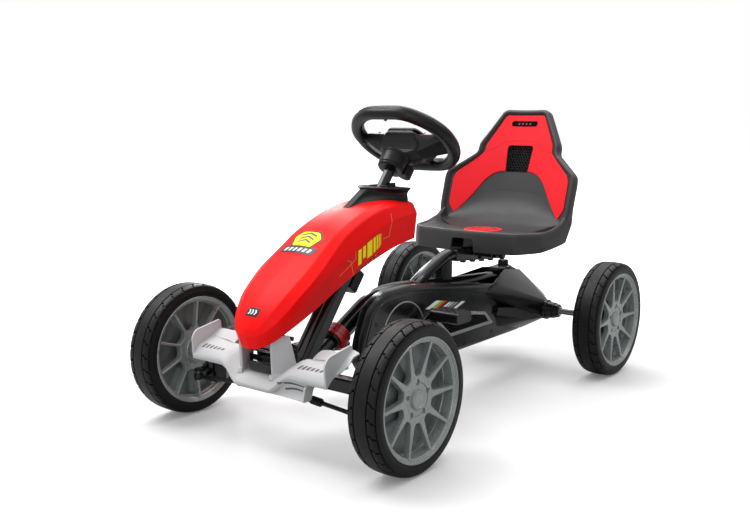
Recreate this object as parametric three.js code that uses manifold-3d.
// Child's pedal go kart: front and rear tube frames joined by a clamp collar, nose cowl, front
// wing, steering linkage, chain drive in a closed case, sliding moulded seat, four spoked wheels.
// Millimetres, +Z up. The kart faces -Y, +X is the driver's left. Origin on the ground, midway
// between the axles, on the centre plane.
import * as THREE from 'three';
import { mergeVertices } from 'three/addons/utils/BufferGeometryUtils.js';
import { ConvexGeometry } from 'three/addons/geometries/ConvexGeometry.js';
import Module from 'manifold-3d';

const wasm = await Module();
wasm.setup();

// ---------------------------------------------------------------- driving dimensions
const GAP = 0.3; // clearance between neighbouring pieces
const WHEEL_R = 130; // tyre radius, to the flats of the tread
const AXLE_Y = 387.7; // half of the wheelbase
const AXLE_Z = WHEEL_R;
const AXLE_R = 6; // rear axle and front stub radius
const TRACK_FRONT = 270.7; // tyre centre planes
const TRACK_REAR = 274.2;
const KINGPIN_X = 206;
const KINGPIN_R = 5;
const ARM_X = 214; // steering arm stud
const ARM_Y = -416;
const COLUMN_TOP = [0, -34.7, 542.6]; // steering wheel centre
const COLUMN_DIR = [0, 0.6157, 0.788]; // column axis, pointing at the driver
const CRANK_Y = -114; // crank axis
const CRANK_Z = 149;
const CHAIN_X = 48; // chain plane
const CASE_INNER_X = CHAIN_X - 12; // chain case faces
const CASE_OUTER_X = CHAIN_X + 12;
const SIDES = [['left', 1], ['right', -1]]; // name and sign of x

// ---------------------------------------------------------------- materials
const standard = (look) => new THREE.MeshStandardMaterial(look);
const COWL_RED = standard({ color: 0xe02020, roughness: 0.18 });
const SEAT_RED = standard({ color: 0xf23a48, roughness: 0.5 });
const SEAT_GREY = standard({ color: 0x4c4c4d, roughness: 0.6 });
const WING_GREY = standard({ color: 0xd6d7d8, roughness: 0.45 });
const RIM_GREY = standard({ color: 0x7d8284, roughness: 0.4, metalness: 0.3 });
const TYRE_BLACK = standard({ color: 0x1c1c1d, roughness: 0.8 });
const FRAME_BLACK = standard({ color: 0x141415, roughness: 0.25, metalness: 0.2 });
const CASE_BLACK = standard({ color: 0x1f2021, roughness: 0.45 });
const BLACK = standard({ color: 0x1a1a1b, roughness: 0.5 });
const COLLAR_RED = standard({ color: 0xa8141e, roughness: 0.35 });
const SILVER = standard({ color: 0xb4b6b8, roughness: 0.3, metalness: 0.7 });
const STEEL = standard({ color: 0x8d9094, roughness: 0.35, metalness: 0.9 });
const MESH_BLACK = standard({ color: 0x0c0c0c, roughness: 0.8 });

// ---------------------------------------------------------------- solids and meshes
// welds a geometry into a solid, turning it right side out if its triangles face inwards
function solid(source) {
  const bare = new THREE.BufferGeometry();
  bare.setAttribute('position', source.attributes.position);
  bare.setIndex(source.index);
  const welded = mergeVertices(bare, 1e-4);
  const vertProperties = new Float32Array(welded.attributes.position.array);
  const index = welded.index.array;
  const triangles = [];
  for (let i = 0; i < index.length; i += 3) {
    const [a, b, c] = index.slice(i, i + 3);
    if (a !== b && b !== c && a !== c) triangles.push(a, b, c);
  }
  const build = (triVerts) =>
    new wasm.Manifold(new wasm.Mesh({ numProp: 3, vertProperties, triVerts }));
  const body = build(new Uint32Array(triangles));
  if (body.volume() >= 0) return body;
  return build(Uint32Array.from(triangles, (_, i) => triangles[i + [1, -1, 0][i % 3]]));
}

function geometry(body) {
  const { vertProperties, triVerts } = body.getMesh();
  const result = new THREE.BufferGeometry();
  result.setAttribute('position', new THREE.BufferAttribute(new Float32Array(vertProperties), 3));
  result.setIndex(new THREE.BufferAttribute(new Uint32Array(triVerts), 1));
  result.computeVertexNormals();
  return result;
}

const kart = new THREE.Group();
function add(name, body, material, parent = kart) {
  const mesh = new THREE.Mesh(geometry(body), material);
  mesh.name = name;
  parent.add(mesh);
}

const join = (...bodies) => bodies.reduce((sum, body) => sum.add(body));
const cut = (body, ...tools) => tools.reduce((rest, tool) => rest.subtract(tool), body);

// ---------------------------------------------------------------- outlines and paths
const radians = (degrees) => (degrees * Math.PI) / 180;

// values of place(angle) at equal steps round a circle; phase is a fraction of a step
const around = (count, place, phase = 0) =>
  Array.from({ length: count }, (_, k) => place((2 * Math.PI * (k + phase)) / count));

// a symmetric outline from its half with x >= 0; points on x = 0 are not repeated
const mirrored = (half) => [
  ...half,
  ...half.filter(([x]) => x > 0.01).reverse().map(([x, y]) => [-x, y]),
];

// moves every side of an outline inwards; a negative distance moves it outwards
function inset(points, distance) {
  const count = points.length;
  const area = points.reduce((sum, p, i) => {
    const next = points[(i + 1) % count];
    return sum + p[0] * next[1] - next[0] * p[1];
  }, 0);
  const turn = area > 0 ? 1 : -1;
  const normal = (from, to) => {
    const length = Math.hypot(to[0] - from[0], to[1] - from[1]);
    return [(-(to[1] - from[1]) / length) * turn, ((to[0] - from[0]) / length) * turn];
  };
  return points.map((p, i) => {
    const before = normal(points[(i + count - 1) % count], p);
    const after = normal(p, points[(i + 1) % count]);
    const spread = 1 + before[0] * after[0] + before[1] * after[1];
    return [0, 1].map((axis) => p[axis] + ((before[axis] + after[axis]) * distance) / spread);
  });
}

const smooth = (points, count, closed = false) =>
  new THREE.CatmullRomCurve3(points.map((p) => new THREE.Vector3(...p)), closed, 'centripetal')
    .getPoints(count)
    .map((v) => v.toArray());

// two x values on one side of the kart, in rising order
const span = (sign, a, b) => [Math.min(sign * a, sign * b), Math.max(sign * a, sign * b)];

// ---------------------------------------------------------------- basic bodies
// a shape extruded along an axis; its plane is (y, z) for x, (x, z) for y and (x, y) for z
function extrude(shape, axis, from, to, curveSegments) {
  const body = new THREE.ExtrudeGeometry(shape, {
    depth: to - from,
    bevelEnabled: false,
    curveSegments,
  });
  const unitX = new THREE.Vector3(1, 0, 0);
  const unitY = new THREE.Vector3(0, 1, 0);
  const unitZ = new THREE.Vector3(0, 0, 1);
  const place = new THREE.Matrix4();
  if (axis === 'x') place.makeBasis(unitY, unitZ, unitX).setPosition(from, 0, 0);
  if (axis === 'y') place.makeBasis(unitX, unitZ, unitY.negate()).setPosition(0, to, 0);
  if (axis === 'z') place.setPosition(0, 0, from);
  return solid(body.applyMatrix4(place));
}

const prism = (outline, axis, from, to) =>
  extrude(new THREE.Shape(outline.map((p) => new THREE.Vector2(...p))), axis, from, to);

function box(x0, x1, y0, y1, z0, z1) {
  const body = new THREE.BoxGeometry(x1 - x0, y1 - y0, z1 - z0);
  return solid(body.translate((x0 + x1) / 2, (y0 + y1) / 2, (z0 + z1) / 2));
}

function rod(from, to, radius, segments) {
  const start = new THREE.Vector3(...from);
  const end = new THREE.Vector3(...to);
  const along = end.clone().sub(start);
  const body = new THREE.CylinderGeometry(radius, radius, along.length(), segments);
  const up = new THREE.Vector3(0, 1, 0);
  body.applyQuaternion(new THREE.Quaternion().setFromUnitVectors(up, along.normalize()));
  body.translate(...start.add(end).divideScalar(2).toArray());
  return solid(body);
}
const rodX = (x0, x1, y, z, radius, segments) => rod([x0, y, z], [x1, y, z], radius, segments);
const rodZ = (x, y, z0, z1, radius, segments) => rod([x, y, z0], [x, y, z1], radius, segments);

const hull = (points) => solid(new ConvexGeometry(points.map((p) => new THREE.Vector3(...p))));

// triangles between neighbouring rings; a closed skin also joins the last ring to the first
function skin(rings, closed) {
  const count = rings[0].length;
  const triangles = [];
  for (let i = 0; i < rings.length - (closed ? 0 : 1); i++) {
    const here = i * count;
    const next = ((i + 1) % rings.length) * count;
    for (let j = 0; j < count; j++) {
      const k = (j + 1) % count;
      triangles.push(here + j, here + k, next + k, here + j, next + k, next + j);
    }
  }
  return triangles;
}

function ringSolid(rings, triangles) {
  const body = new THREE.BufferGeometry();
  const positions = new Float32Array(rings.flat(2));
  body.setAttribute('position', new THREE.BufferAttribute(positions, 3));
  body.setIndex(triangles);
  return solid(body);
}

// triangles of the flat face inside one ring
function capTriangles(ring) {
  const corners = ring.map((p) => new THREE.Vector3(...p));
  const normal = new THREE.Vector3();
  corners.forEach((p, i) => normal.add(p.clone().cross(corners[(i + 1) % corners.length])));
  normal.normalize();
  const across = new THREE.Vector3(1, 0, 0);
  if (Math.abs(normal.x) > 0.9) across.set(0, 1, 0);
  across.addScaledVector(normal, -across.dot(normal)).normalize();
  const up = normal.clone().cross(across);
  const flat = corners.map((p) => new THREE.Vector2(p.dot(across), p.dot(up)));
  return THREE.ShapeUtils.triangulateShape(flat, []);
}

// closed body through rings of equal point counts, with flat ends
function loft(rings) {
  const lastStart = (rings.length - 1) * rings[0].length;
  const startCap = capTriangles(rings[0]).flatMap(([a, b, c]) => [c, b, a]);
  const endCap = capTriangles(rings.at(-1)).flat().map((i) => lastStart + i);
  return ringSolid(rings, [...skin(rings, false), ...startCap, ...endCap]);
}

// round tube along a gentle path
function tube(path, radius, segments) {
  const points = path.map((p) => new THREE.Vector3(...p));
  return loft(points.map((centre, i) => {
    const before = points[Math.max(i - 1, 0)];
    const after = points[Math.min(i + 1, points.length - 1)];
    const along = after.clone().sub(before).normalize();
    const across = Math.abs(along.x) > 0.8
      ? new THREE.Vector3(0, 0, 1).cross(along).normalize()
      : new THREE.Vector3(1, 0, 0).addScaledVector(along, -along.x).normalize();
    const up = along.clone().cross(across);
    return around(segments, (angle) => centre.clone()
      .addScaledVector(across, radius * Math.cos(angle))
      .addScaledVector(up, radius * Math.sin(angle))
      .toArray(), 0.5);
  }));
}

// ---------------------------------------------------------------- steering column frame
// x across, s forward and up in the steering wheel's plane, t down the column
const columnPoint = (x, s, t) => [
  x,
  COLUMN_TOP[1] - COLUMN_DIR[1] * t - COLUMN_DIR[2] * s,
  COLUMN_TOP[2] - COLUMN_DIR[2] * t + COLUMN_DIR[1] * s,
];
const onColumn = (body) => body.transform([
  1, 0, 0, 0,
  0, -COLUMN_DIR[2], COLUMN_DIR[1], 0,
  0, -COLUMN_DIR[1], -COLUMN_DIR[2], 0,
  ...COLUMN_TOP, 1,
]);
const columnRod = (t0, t1, radius, segments) => onColumn(rodZ(0, 0, t0, t1, radius, segments));

// ---------------------------------------------------------------- wheels
// built as left wheels about their own centres, +x outwards
const TYRE_HALF_W = 60.7 / 2;
const RIM_R = 104.2; // rim seat radius
const RIM_HALF_W = 29;
const FACETS = 32; // facets round a tyre
const SPOKES = 10;
const SPOKE_IN_X = 11; // spoke disc faces
const SPOKE_OUT_X = 22;
const SPOKE_TIP = { r: 90, half: 3.4 }; // radius and half the spoke width there
const SPOKE_ROOT = { r: 46, half: 5.5 };

// body of revolution about x from a closed (x, radius) profile; radii are to the facet flats
function revolve(profile) {
  const toCorner = 1 / Math.cos(Math.PI / FACETS);
  const rings = around(FACETS, (angle) => {
    const turn = angle - Math.PI / 2;
    return profile.map(([x, r]) => [
      x, r * toCorner * Math.cos(turn), r * toCorner * Math.sin(turn),
    ]);
  }, 0.5);
  return ringSolid(rings, skin(rings, true));
}

const tyre = revolve([
  [-29, 104.6], [-TYRE_HALF_W, 114], [-27, 126.5], [-18, WHEEL_R],
  [18, WHEEL_R], [27, 126.5], [TYRE_HALF_W, 114], [29, 104.6],
]);

function spokeDisc() {
  const disc = new THREE.Shape();
  disc.absarc(0, 0, 97, 0, 2 * Math.PI, false);
  const polar = (r, angle) => new THREE.Vector2(r * Math.cos(angle), r * Math.sin(angle));
  const pitch = radians(360 / SPOKES);
  for (let k = 0; k < SPOKES; k++) {
    const start = pitch * k;
    const end = pitch * (k + 1);
    const corner = ({ r, half }, angle, sign) => polar(r, angle + (sign * half) / r);
    const hole = new THREE.Path([
      corner(SPOKE_TIP, start, 1),
      corner(SPOKE_ROOT, start, 1),
      polar(40, (start + end) / 2),
      corner(SPOKE_ROOT, end, -1),
      corner(SPOKE_TIP, end, -1),
    ]);
    hole.closePath();
    disc.holes.push(hole);
  }
  return extrude(disc, 'x', SPOKE_IN_X, SPOKE_OUT_X, 16);
}

const rimBand = revolve([
  [-RIM_HALF_W, 94.5], [-RIM_HALF_W, RIM_R], [RIM_HALF_W, RIM_R], [RIM_HALF_W, 94.5], [12, 93],
]);
const hub = rodX(-28, SPOKE_OUT_X, 0, 0, 24, 14);
const rim = cut(join(rimBand, spokeDisc(), hub), rodX(-40, 40, 0, 0, 6.6, 12));
const hubCap = rodX(SPOKE_OUT_X + 0.4, 28, 0, 0, 17, 16);

for (const [end, x, y] of [['front', TRACK_FRONT, -AXLE_Y], ['rear', TRACK_REAR, AXLE_Y]]) {
  for (const [side, sign] of SIDES) {
    const wheel = new THREE.Group();
    wheel.position.set(sign * x, y, AXLE_Z);
    const handed = (body) => (sign > 0 ? body : body.mirror([1, 0, 0]));
    add(`tyre_${end}_${side}`, handed(tyre), TYRE_BLACK, wheel);
    add(`rim_${end}_${side}`, handed(rim), RIM_GREY, wheel);
    add(`hub_cap_${end}_${side}`, handed(hubCap), RIM_GREY, wheel);
    kart.add(wheel);
  }
}

// ---------------------------------------------------------------- front frame
// axle beam, kingpin yokes, column post and front tube
const BEAM_HALF = 13; // half of the beam's depth in y
const beamY = [-AXLE_Y - BEAM_HALF, -AXLE_Y + BEAM_HALF];
const YOKE_BOTTOM = 76;
const YOKE_TOP = 153;
const YOKE_PLATE = 5;

const kingpinRod = (sign, z0, z1, radius, segments) =>
  rodZ(sign * KINGPIN_X, -AXLE_Y, z0, z1, radius, segments);
function yoke(sign) {
  const ear = (z0, z1) => join(
    kingpinRod(sign, z0, z1, 14, 16),
    box(...span(sign, 184, KINGPIN_X), ...beamY, z0, z1),
  );
  return join(
    ear(YOKE_TOP - YOKE_PLATE, YOKE_TOP),
    ear(YOKE_BOTTOM, YOKE_BOTTOM + YOKE_PLATE),
    box(...span(sign, 182, 187), ...beamY, YOKE_BOTTOM, YOKE_TOP),
  );
}
const kingpinBore = (sign) => kingpinRod(sign, 60, 170, KINGPIN_R + GAP, 16);
const beam = box(-185, 185, ...beamY, 114, 140);
const post = onColumn(prism(mirrored([[12, -17], [19, -10], [19, 10], [12, 17]]), 'z', 215, 558));
const frontTube = tube([[0, -376, 122], [0, -340, 128], [0, -300, 142], [0, -222, 184]], 14, 12);
add('front_frame', cut(
  join(beam, yoke(1), yoke(-1), post, frontTube),
  columnRod(150, 600, 11, 14),
  kingpinBore(1),
  kingpinBore(-1),
), FRAME_BLACK);

// ---------------------------------------------------------------- rear frame
// backbone, seat tube, rail, gusset and axle bracket
const RAIL_SLOPE = Math.tan(radians(4.7)); // the rail falls towards the rear
const railZ = (y) => 279 - RAIL_SLOPE * (y - 150);
// a strip along the rail, from low to high above its centre line
const railStrip = (x0, x1, y0, y1, low, high) => prism([
  [y0, railZ(y0) + low], [y0, railZ(y0) + high], [y1, railZ(y1) + high], [y1, railZ(y1) + low],
], 'x', x0, x1);
const axleHole = (radius) => rodX(-200, 200, AXLE_Y, AXLE_Z, radius, 20);

const backboneCrest = [
  [0, -163, 215], [0, -125, 226], [0, -80, 229], [0, -20, 226], [0, 60, 219],
];
const backbone = tube([
  [0, -246, 171], [0, -190, 201.3], ...smooth(backboneCrest, 6), [0, 200, 208], [0, 327, 201],
], 17.5, 12);
const seatTube = tube(smooth([
  [0, -6, 222], [0, 30, 243], [0, 90, 268], [0, 130, 280], [0, 158, 279],
], 7), 14.5, 12);
const rail = railStrip(-16, 16, 148, 352, -12, 12);
const railBumps = [197, 238, 278, 319].map((y) => rodZ(0, y, railZ(y) - 19.5, railZ(y) - 6, 7, 12));
const gusset = box(-11, 11, 98, 138, 206, 275);
const axleBracket = prism([
  [325, 196], [325, 212], [440, 205], [436, 118], [420, 104], [352, 104], [338, 118],
], 'x', -18, 18);
const caseBosses = [
  [-78, -48, 214, 232], [190, 214, 199, 211], [330, 344, 150, 190], // y and z ranges
].map((range) => box(10, CASE_INNER_X - GAP, ...range));
const frontTubeSocket = rod([0, -270, 158.2], [0, -212, 189.4], 14.6, 14);

const KNOB_Y = 380;
const KNOB_STEM_R = 5;
const knobBore = rodZ(0, KNOB_Y, 150, 240, KNOB_STEM_R + GAP, 16);
add('rear_frame', cut(
  join(backbone, seatTube, rail, ...railBumps, gusset, axleBracket, ...caseBosses),
  frontTubeSocket,
  rodX(-30, 30, AXLE_Y, AXLE_Z, 9, 20),
  knobBore,
), FRAME_BLACK);

// ---------------------------------------------------------------- clamp collar and bolt
const BOLT_Y = -257;
const BOLT_Z = 157;
const collarPoint = (along) => [0, -253 + 0.8742 * along, 167.2 + 0.4856 * along];
const collarRod = (half, radius) => rod(collarPoint(-half), collarPoint(half), radius, 28);
const boltRod = (x0, x1, radius) => rodX(x0, x1, BOLT_Y, BOLT_Z, radius, 12);
const collarBoss = hull([
  [19, -268, 150], [19, -254, 148], [19, -244, 158], [19, -258, 166],
  [31, -266, 153], [31, -256, 152], [31, -248, 159], [31, -258, 164],
]);
add('clamp_collar', cut(
  join(collarRod(13, 25), collarBoss),
  collarRod(30, 18),
  boltRod(10, 40, 3.2),
), COLLAR_RED);
add('clamp_bolt', join(boltRod(19.5, 31.3, 2.8), boltRod(31.3, 34.5, 5)), STEEL);

// ---------------------------------------------------------------- knuckles, kingpins, tie rods
const PITMAN_T = 568; // pitman plate centre down the column
const PITMAN_S = 36; // tie rod hooks, in the column frame
const PITMAN_X = 16;
const ROD_END_Z = 86; // tie rod height at the steering arm
const HOOK_Z = 100; // tie rod height at the hook
const ARM_OUTLINE = [ // left steering arm (x, y)
  [KINGPIN_X - 9, -394], [KINGPIN_X + 10, -394],
  [ARM_X + 8, ARM_Y + 2], [ARM_X - 8, ARM_Y - 3], [ARM_X + 3, ARM_Y - 8],
];
const [, hookY] = columnPoint(PITMAN_X, PITMAN_S, PITMAN_T);

for (const [side, sign] of SIDES) {
  const stubRod = (x0, x1, radius) => rodX(sign * x0, sign * x1, -AXLE_Y, AXLE_Z, radius, 12);
  const studRod = (z0, z1, radius, segments) =>
    rodZ(sign * ARM_X, ARM_Y, z0, z1, radius, segments);
  const arm = hull([96, 102].flatMap((z) => ARM_OUTLINE.map(([x, y]) => [sign * x, y, z])));
  add(`knuckle_${side}`, cut(
    join(
      kingpinRod(sign, 82, 147, 12, 14),
      stubRod(KINGPIN_X + 8, 241, 10),
      stubRod(236, 291, AXLE_R),
      arm,
      studRod(79, 98, 4, 14),
      studRod(76, 79.5, 6.5, 14),
    ),
    kingpinRod(sign, 60, 170, 5.4, 16),
  ), FRAME_BLACK);

  add(`kingpin_${side}`, join(
    kingpinRod(sign, 70, 154, KINGPIN_R, 16),
    kingpinRod(sign, 153.4, 160, 9, 6),
    kingpinRod(sign, 69, 75.6, 9, 6),
  ), STEEL);

  // a point on the line from the hook (0) to the stud (1)
  const rodPoint = (part) => [
    sign * (PITMAN_X + (ARM_X - PITMAN_X) * part),
    hookY + (ARM_Y - hookY) * part,
    HOOK_Z + (ROD_END_Z - HOOK_Z) * part,
  ];
  add(`tie_rod_${side}`, cut(
    join(
      rod(rodPoint(0), [sign * (ARM_X - 7), ARM_Y, 86.4], 4, 12),
      rodZ(sign * PITMAN_X, hookY, 97, 126, 3, 12),
      rod(rodPoint(0.33), rodPoint(0.45), 7.5, 6),
      studRod(80.5, 92.5, 9, 18),
    ),
    studRod(60, 120, 4.6, 14),
  ), BLACK);
}

// ---------------------------------------------------------------- steering column and bushes
const pitmanOutline = mirrored([[12, -13], [28, 24], [28, 42], [20, 49]]);
const pitman = onColumn(prism(pitmanOutline, 'z', PITMAN_T - 2, PITMAN_T + 2));
const hookHole = (sign) => rodZ(sign * PITMAN_X, hookY, 60, 160, 8.5, 18);
add('steering_column', cut(
  join(columnRod(78.5, 196, 12, 8), columnRod(190, 572, 9, 18), pitman),
  hookHole(1),
  hookHole(-1),
), BLACK);
const bush = (t0, t1, radius) =>
  cut(columnRod(t0, t1, radius, 16), columnRod(t0 - 1, t1 + 1, 9.4, 16));
add('column_bush_upper', bush(206, 214.6, 16), BLACK);
add('column_bush_lower', bush(558.4, 564.5, 15), BLACK);

// ---------------------------------------------------------------- steering wheel
// all in the column frame (x, s, t)
const GRIP_R = 13; // grip radius in the wheel's plane
const GRIP_DEPTH = 13.5; // grip radius along the column
const GRIP_STEPS = 36;
const WHEEL_OUTLINE = [ // left half of the grip's outer edge (x, s)
  [0, 97], [50, 97], [92, 68], [112, 39], [120, 15], [120, -20],
  [112, -50], [95, -75], [70, -95], [45, -100], [0, -101],
];

function gripLoop() {
  const scaleX = 1 - GRIP_R / 120;
  const scaleS = 1 - GRIP_R / 98;
  const centreLine = mirrored(WHEEL_OUTLINE).map(([x, s]) => [x * scaleX, s * scaleS, 0]);
  const loop = smooth(centreLine, GRIP_STEPS, true).slice(0, GRIP_STEPS);
  const rings = loop.map(([x, s], i) => {
    const after = loop[(i + 1) % GRIP_STEPS];
    const before = loop[(i + GRIP_STEPS - 1) % GRIP_STEPS];
    const along = [after[0] - before[0], after[1] - before[1]];
    const length = Math.hypot(...along);
    return around(8, (angle) => {
      const out = (GRIP_R * Math.cos(angle)) / length;
      return [x + along[1] * out, s - along[0] * out, GRIP_DEPTH * Math.sin(angle)];
    }, 0.5);
  });
  return ringSolid(rings, skin(rings, true));
}

const wheelSpokes = prism(mirrored([
  [40, 22], [60, 16], [108, 8], [110, -14], [104, -44], [52, -38], [36, -46],
]), 'z', -3, 11);
// each listed point stands for a pair at -x and +x
const pairs = (points) => points.flatMap(([x, s, t]) => [[-x, s, t], [x, s, t]]);
const housingUpper = hull(pairs([
  [32, 18, -2], [45, 8, 8], [50, 8, 16], [50, -26, 14],
  [34, -48, 4], [47, 6, 36], [42, -22, 36], [24, -38, 32],
]));
const housingLower = hull([
  ...pairs([[46, 4, 34], [40, -20, 36], [20, -30, 30], [30, 14, 30]]),
  ...around(12, (angle) => [30 * Math.cos(angle), 30 * Math.sin(angle), 46]),
]);
const housingArm = (sign) => hull([
  [44, 13, 0], [44, 8, 14], [44, -10, 33], [44, -30, 30], [40, -44, 6], [44, -40, -3],
  [103, 11, -3], [103, 9, 5], [98, -10, 12], [102, -34, 7], [103, -36, -4],
].map(([x, s, t]) => [sign * x, s, t]));
add('steering_wheel', onColumn(
  join(gripLoop(), wheelSpokes, join(housingUpper, housingLower), housingArm(1), housingArm(-1)),
), BLACK);

const hubLug = prism([[6, -26], [18, -40], [30, -34], [26, -14]], 'z', 54, 76);
add('wheel_hub', onColumn(join(rodZ(0, 0, 46.4, 78, 29, 24), hubLug)), BLACK);
const padRing = (half, t) => mirrored(half).map(([x, s]) => [x, s, t]);
add('wheel_pad', onColumn(loft([
  padRing([[44, -40], [50, 0], [38, 22]], -3.4),
  padRing([[34, -32], [40, 0], [30, 15]], -13),
])), BLACK);

// ---------------------------------------------------------------- nose cowl, visor, bracket
const COWL_WALL = 4;
// y, then bottom, crease, shoulder and chamfer as half width and height, then crown height
const COWL = [
  [-85, 64, 347, 70, 398, 60, 417, 42, 423, 428],
  [-150, 65, 337, 71, 392, 60, 416, 44, 423, 428],
  [-222, 65, 317, 71, 372, 60, 403, 45, 410, 415],
  [-295, 65, 291, 71, 340, 62, 373, 48, 382, 388],
  [-340, 62, 268, 72, 318, 67, 343, 50, 355, 361],
  [-385, 61, 247, 73, 295, 74, 313, 52, 324, 331],
  [-431, 57, 226, 66, 262, 68, 277, 49, 291, 297],
  [-455, 50, 213, 58, 240, 61, 254, 44, 268, 275],
  [-475, 40, 200, 47, 222, 51, 236, 37, 247, 254],
  [-487, 26, 192, 32, 207, 35, 219, 24, 229, 235],
  [-493, 9, 189, 12, 199, 13, 208, 9, 212, 215],
];
function cowlRing([y, ...sizes], wall, drop) {
  const [bottomX, bottomZ, creaseX, creaseZ, shoulderX, shoulderZ, chamferX, chamferZ, crownZ] =
    sizes;
  const thin = (x) => Math.max(x - wall, 2);
  return mirrored([
    [thin(bottomX), bottomZ - drop],
    [thin(creaseX), creaseZ - wall],
    [thin(shoulderX), shoulderZ - wall],
    [thin(chamferX), chamferZ - wall],
    [0, crownZ - wall],
  ]).map(([x, z]) => [x, y, z]);
}
const cowlOuter = loft(COWL.map((station) => cowlRing(station, 0, 0)));
// the hollow runs out through the rear and the bottom, and stops short of the nose
const hollowStations = COWL.slice(0, -1).map((station) => [...station]);
hollowStations[0][0] = -60;
hollowStations.at(-1)[0] = -483;
const cowlHollow = loft(hollowStations.map((station) => cowlRing(station, COWL_WALL, 60)));
add('nose_cowl', cut(cowlOuter, cowlHollow, columnRod(110, 200, 17, 20)), COWL_RED);

const visorRoof = hull(pairs([
  [62, -92, 431], [62, -92, 446], [61, -118, 446], [52, -112, 431],
  [7, -168, 449], [7, -172, 445], [8, -150, 430],
]));
const visorProw = hull([
  [0, -232, 414.8], [0, -165, 447], [0, -150, 429],
  ...pairs([[6, -228, 415.6], [7, -172, 446], [22, -160, 427.6]]),
]);
add('dash_visor', cut(
  join(visorRoof, visorProw),
  columnRod(90, 200, 15, 20),
  cowlOuter.translate([0, 0, 0.4]),
), BLACK);
add('column_collar', cut(
  join(box(-24, 24, -122, -94, 449, 452.6), box(14, 24, -106, -94, 452, 456.6)),
  columnRod(80, 150, 13, 20),
), BLACK);
add('cowl_bracket', onColumn(box(-17, 17, -44, -17.4, 298, 342)), BLACK);

// ---------------------------------------------------------------- front wing
// thickness, then the four top corners of each left plate
const WING_PLATES = [
  [5, [0, -466, 138], [43, -466, 138], [43, -484, 121], [0, -484, 121]],
  [5, [0, -428, 142], [43, -428, 142], [43, -466, 138], [0, -466, 138]],
  [5, [42, -466, 138], [82, -462, 164], [82, -474, 152], [42, -484, 121]],
  [5, [42, -428, 142], [82, -428, 172], [82, -462, 164], [42, -466, 138]],
  [4, [81, -462, 164], [163, -460, 166], [163, -472, 148], [81, -474, 152]],
  [4, [81, -428, 172], [163, -424, 178], [163, -460, 166], [81, -462, 164]],
  [4, [96, -405, 186], [163, -405, 188], [163, -425, 178.5], [96, -428, 174]],
  [4, [163, -403, 196], [182, -406, 194], [180, -428, 176], [163, -440, 164]],
];
const WING_END_PLATE = [ // (y, z)
  [-472, 141], [-476, 184], [-468, 195], [-405, 205], [-403, 184], [-420, 172], [-458, 158],
];
// upright webs between the wing and the axle beam (y, z)
const WING_WEBS = [
  [[-462, 134], [-462, 188], [-432, 205], [-432, 138]],
  [[-434, 139], [-434, 176], [-401.2, 172], [-401.2, 150]],
];
function wingHalf(sign) {
  const plates = WING_PLATES.map(([thickness, ...corners]) => {
    const top = corners.map(([x, y, z]) => [sign * x, y, z]);
    return hull([...top, ...top.map(([x, y, z]) => [x, y, z - thickness])]);
  });
  const webs = WING_WEBS.map((outline) => prism(outline, 'x', ...span(sign, 24, 32)));
  return join(...plates, prism(WING_END_PLATE, 'x', ...span(sign, 160, 164)), ...webs);
}
add('front_wing', join(wingHalf(1), wingHalf(-1), box(-43, 43, -481, -477, 112, 124)), WING_GREY);

// ---------------------------------------------------------------- chain case
const CASE_WALL = 11; // rim wall of each half
const CASE_SEAM = 0.2; // half of the gap between the halves
const CASE_SIDE = [ // (y, z)
  [-190, 76], [-232, 92], [-258, 128], [-246, 172], [-226, 219], [-196, 240],
  [-166, 249], [-90, 250], [-11, 242], [110, 226], [224, 208], [330, 194],
  [400, 188], [432, 168], [446, 130], [434, 92], [395, 80], [366, 76],
];
const WINDOW = [[-8, 166], [12, 181], [198, 149], [232, 117], [52, 117]]; // (y, z)
const trimX = CASE_OUTER_X + GAP; // inner face of the trim on the case

const crankRod = (x0, x1, radius, segments) => rodX(x0, x1, CRANK_Y, CRANK_Z, radius, segments);
const caseHollow = (x0, x1) => prism(inset(CASE_SIDE, CASE_WALL), 'x', x0, x1);
const shaftHoles = [axleHole(9), crankRod(-200, 200, 7, 20)];
// x and inset of each ring; the last step bevels the outer edge
const caseOuterBody = loft([
  [CHAIN_X + CASE_SEAM, 0], [CASE_OUTER_X - 9, 0], [CASE_OUTER_X, 8],
].map(([x, depth]) => inset(CASE_SIDE, depth).map(([y, z]) => [x, y, z])));
const caseInnerBody = prism(CASE_SIDE, 'x', CASE_INNER_X, CHAIN_X - CASE_SEAM);
add('chain_case_outer',
  cut(caseOuterBody, caseHollow(30, CASE_OUTER_X - 2.5), ...shaftHoles), CASE_BLACK);
add('chain_case_inner',
  cut(caseInnerBody, caseHollow(CASE_INNER_X + 2.5, 70), ...shaftHoles), CASE_BLACK);
add('case_ring',
  cut(crankRod(trimX, CASE_OUTER_X + 1.7, 72.4, 36), crankRod(50, 70, 69.6, 36)), SILVER);
add('grille_bezel', cut(
  prism(WINDOW, 'x', trimX, CASE_OUTER_X + 3.2),
  prism(inset(WINDOW, 7), 'x', 50, 80),
), SILVER);
add('grille_mesh', prism(inset(WINDOW, 7 + GAP), 'x', trimX, CASE_OUTER_X + 1.6), MESH_BLACK);

// ---------------------------------------------------------------- chain and sprockets
const CHAINWHEEL_R = 52.5;
const SPROCKET_R = 30;

function toothed(radius, teeth, y, z) {
  const outline = around(teeth, (angle) => [-1, 0, 1].map((flank) => {
    const turn = angle + (flank * 0.25 * 2 * Math.PI) / teeth;
    const reach = flank === 0 ? radius : radius - 2.4;
    return [y + reach * Math.cos(turn), z + reach * Math.sin(turn)];
  })).flat();
  const disc = prism(outline, 'x', CHAIN_X - 1.8, CHAIN_X + 1.8);
  return cut(disc, rodX(CHAIN_X - 2.8, CHAIN_X + 2.8, y, z, 6.4, 20));
}
add('chainwheel', toothed(CHAINWHEEL_R, 28, CRANK_Y, CRANK_Z), STEEL);
add('rear_sprocket', toothed(SPROCKET_R, 16, AXLE_Y, AXLE_Z), STEEL);

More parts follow.
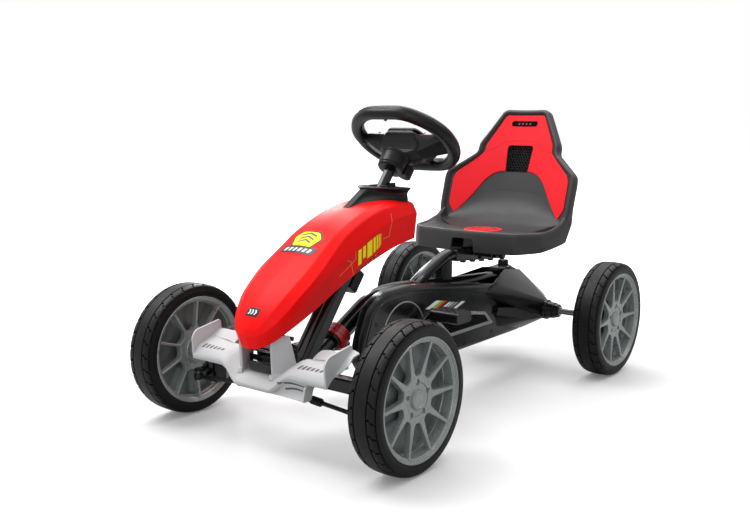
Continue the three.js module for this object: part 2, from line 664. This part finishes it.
// loop round both sprockets, offset outwards from their radii
function beltOutline(offset) {
  const reach = Math.hypot(AXLE_Y - CRANK_Y, AXLE_Z - CRANK_Z);
  const lineAngle = Math.atan2(AXLE_Z - CRANK_Z, AXLE_Y - CRANK_Y);
  const wrap = Math.acos((CHAINWHEEL_R - SPROCKET_R) / reach);
  const start = lineAngle + wrap;
  const end = lineAngle - wrap;
  const shape = new THREE.Shape();
  shape.absarc(CRANK_Y, CRANK_Z, CHAINWHEEL_R + offset, start, end + 2 * Math.PI, false);
  shape.absarc(AXLE_Y, AXLE_Z, SPROCKET_R + offset, end, start, false);
  return shape.getPoints(9)
    .filter((p, i, all) => i === 0 || p.distanceTo(all[i - 1]) > 0.5)
    .map((p) => [p.x, p.y]);
}
add('chain', cut(
  prism(beltOutline(6), 'x', CHAIN_X - 3, CHAIN_X + 3),
  prism(beltOutline(1.2), 'x', CHAIN_X - 9, CHAIN_X + 9),
), STEEL);

// ---------------------------------------------------------------- cranks and pedals
const CRANK_R = 85; // crank length
const CRANK_ANGLE = radians(27); // rest angle above horizontal
const PEDAL_OUTLINE = [ // (y, z) about the pedal axis
  [-27, -8], [-23, -12], [23, -12], [27, -8], [27, 8], [23, 12], [-23, 12], [-27, 8],
];
add('crank_axle', crankRod(-91, 91, 6, 20), STEEL);
for (const [side, sign] of SIDES) {
  const pedalY = CRANK_Y + sign * CRANK_R * Math.cos(CRANK_ANGLE);
  const pedalZ = CRANK_Z + sign * CRANK_R * Math.sin(CRANK_ANGLE);
  const pedalRod = (x0, x1, radius) => rodX(sign * x0, sign * x1, pedalY, pedalZ, radius, 16);
  const boss = (y, z, r) => [74, 84].flatMap((x) =>
    around(12, (angle) => [sign * x, y + r * Math.cos(angle), z + r * Math.sin(angle)]));
  const arm = hull([...boss(CRANK_Y, CRANK_Z, 15), ...boss(pedalY, pedalZ, 10)]);
  add(`crank_arm_${side}`, cut(
    join(arm, pedalRod(75, 150, 4), pedalRod(83.5, 87, 7)),
    crankRod(sign * 60, sign * 95, 6.4, 20),
  ), FRAME_BLACK);
  const outline = PEDAL_OUTLINE.map(([y, z]) => [pedalY + y, pedalZ + z]);
  const block = prism(outline, 'x', ...span(sign, 88, 156));
  add(`pedal_${side}`, cut(block, pedalRod(80, 152, 4.5)), CASE_BLACK);
}

// ---------------------------------------------------------------- rear axle, covers, bearings
const SLEEVE_IN_X = 116; // bearing ends
const SLEEVE_OUT_X = 152;
const COVER_X = 60.4; // inner edge of each cover beside the case

add('rear_axle', rodX(-292, 292, AXLE_Y, AXLE_Z, AXLE_R, 20), STEEL);

const coverHull = (sign) => hull([
  ...around(12, (angle) => [
    SLEEVE_IN_X, AXLE_Y + 22 * Math.cos(angle), AXLE_Z + 22 * Math.sin(angle),
  ]),
  [COVER_X, 194, 190], [COVER_X, 250, 105], [COVER_X, 366, 78], [COVER_X, 470, 82],
  [COVER_X, 478, 150], [30, 334, 225], [30, 408, 216], [30, 458, 186], [30, 470, 120],
  [COVER_X, 240, 208],
].map(([x, y, z]) => [sign * x, y, z]));
const frameClearance = join(
  box(-18.6, 18.6, 100, 460, 60, 260),
  box(-19, 19, -100, 500, 160, 260),
);
const caseClearance = prism(inset(CASE_SIDE, -0.5), 'x', 0, trimX);
const biggest = (body) => body.decompose().sort((a, b) => b.volume() - a.volume())[0];
const axleCover = (sign, clearance) =>
  biggest(cut(coverHull(sign), clearance, frameClearance, axleHole(9)));
add('axle_cover_left', axleCover(1, caseClearance), CASE_BLACK);
add('axle_cover_right', axleCover(-1, box(-trimX, 0, 0, 320, 0, 224.9)), CASE_BLACK);

const domeOutline = [[334, 213], [436, 203], [438, 206], [408, 217], [334, 226]]; // (y, z)
add('axle_dome', cut(
  prism(domeOutline, 'x', -18, 18),
  axleBracket.translate([0, 0, 0.4]),
  knobBore,
), CASE_BLACK);
for (const [side, sign] of SIDES) {
  const bearingRod = (x0, x1, radius) =>
    rodX(...span(sign, x0, x1), AXLE_Y, AXLE_Z, radius, 18);
  add(`axle_bearing_${side}`, cut(
    bearingRod(SLEEVE_IN_X + GAP, SLEEVE_OUT_X, 20),
    bearingRod(SLEEVE_IN_X - 1, SLEEVE_OUT_X + 1, 6.5),
  ), CASE_BLACK);
}

// five-lobed knob
const knobOutline = around(20, (angle) => {
  const radius = 11.5 + 1.6 * Math.cos(5 * angle);
  return [radius * Math.cos(angle), KNOB_Y + radius * Math.sin(angle)];
});
add('drive_knob', join(
  prism(knobOutline, 'z', 226.6, 240),
  rodZ(0, KNOB_Y, 206, 230, KNOB_STEM_R, 16),
), BLACK);

// ---------------------------------------------------------------- seat back
// built upright: x across, -y towards the driver, z up the back, then leaned rearwards
const SEAT_TILT = 17.6; // degrees
const BACK_HALF_W = 182;
const lean = (body) => body.rotate([-SEAT_TILT, 0, 0]).translate([0, 435, 455]);

// plate between two y values at its middle, curving towards the driver at both sides
function curvedPlate(front, rear) {
  const edge = (middle) => Array.from({ length: 17 }, (_, i) => {
    const x = -BACK_HALF_W + (2 * BACK_HALF_W * i) / 16;
    return [x, -0.00125 * x * x + middle];
  });
  return prism([...edge(front), ...edge(rear).reverse()], 'z', -190, 170);
}
const BACK_OUTLINE = mirrored([ // (x, z)
  [0, 155], [52, 155], [63, 149], [111, 62], [111, 42],
  [176, -14], [179, -30], [178, -100], [170, -172], [0, -172],
]);
const RED_OUTLINE = mirrored([ // (x, z)
  [0, 141], [48, 141], [54, 137], [93, 60], [92, 44], [153, -16], [159, -30],
  [159, -88], [141, -108], [112, -72], [78, -24], [52, -4], [0, 0],
]);
const VENT = mirrored([[36, 64], [31, 2]]); // (x, z)
const ventHole = prism(VENT, 'y', -60, 60);
const backPlate = (front, rear, outline) =>
  cut(curvedPlate(front, rear).intersect(prism(outline, 'y', -90, 60)), ventHole);
const seatBack = lean(backPlate(2, 24, BACK_OUTLINE));

// ---------------------------------------------------------------- seat shell and trim
const PAN_OUTLINE = mirrored([ // (x, y)
  [0, 190], [60, 193], [118, 205], [154, 227], [171, 262],
  [176, 330], [177, 398], [160, 425], [0, 440],
]);
const PAN_BOTTOM = 283;
const UNDER = [270, 313]; // z range of the hollows under the pan
const panSkirt = cut(
  prism(PAN_OUTLINE, 'z', PAN_BOTTOM, 331),
  prism(inset(PAN_OUTLINE, 6), 'z', ...UNDER),
  box(-32, 32, 150, 215, ...UNDER),
);
const panDish = prism(inset(PAN_OUTLINE, 20), 'z', 323, 340);
const backAbovePan = cut(seatBack, box(-300, 300, 300, 600, 200, 296));
const rearCorner = (sign) => prism([
  [355.5, 296], [400, 357], [412, 362], [480, 362], [480, 200], [355.5, 200],
], 'x', ...span(sign, 128, 190));
add('seat_shell', cut(
  join(panSkirt, backAbovePan),
  cut(panDish, seatBack),
  box(-165, 165, 230, 392, ...UNDER),
  rearCorner(1),
  rearCorner(-1),
), SEAT_GREY);
add('seat_red_panel', lean(
  cut(backPlate(-0.6, 1.6, RED_OUTLINE), box(-35, 35, -60, 60, 112, 126)),
), SEAT_RED);
add('seat_vent_mesh', lean(prism(inset(VENT, 0.4), 'y', 6, 9)), MESH_BLACK);
add('seat_slot_insert', lean(box(-34.6, 34.6, -1.9, -0.2, 112.4, 125.6)), MESH_BLACK);
add('seat_disc', rodZ(0, 283, 323.3, 325, 45, 32), SEAT_RED);

// ---------------------------------------------------------------- seat bracket and latch
const BRACKET_Y0 = 244;
const BRACKET_Y1 = 336;
const latchRod = (x0, x1, radius, segments) => rodX(x0, x1, 318, 262, radius, segments);
const bracketStrip = (x0, x1, low, high) =>
  railStrip(x0, x1, BRACKET_Y0, BRACKET_Y1, low, high);
add('seat_bracket', cut(
  join(
    bracketStrip(-21, 21, 13, 17),
    bracketStrip(-21, -17, -10, 14),
    bracketStrip(17, 21, -10, 14),
    box(-40, 40, BRACKET_Y0 + 4, BRACKET_Y1 - 4, 308, 312.6),
    box(-8, 8, BRACKET_Y0 + 14, BRACKET_Y1 - 14, 284, 309),
  ),
  latchRod(10, 50, 4.4, 14),
), FRAME_BLACK);
add('seat_latch', join(latchRod(16.9, 32, 4, 14), latchRod(26, 38, 10, 16)), BLACK);

export default kart;
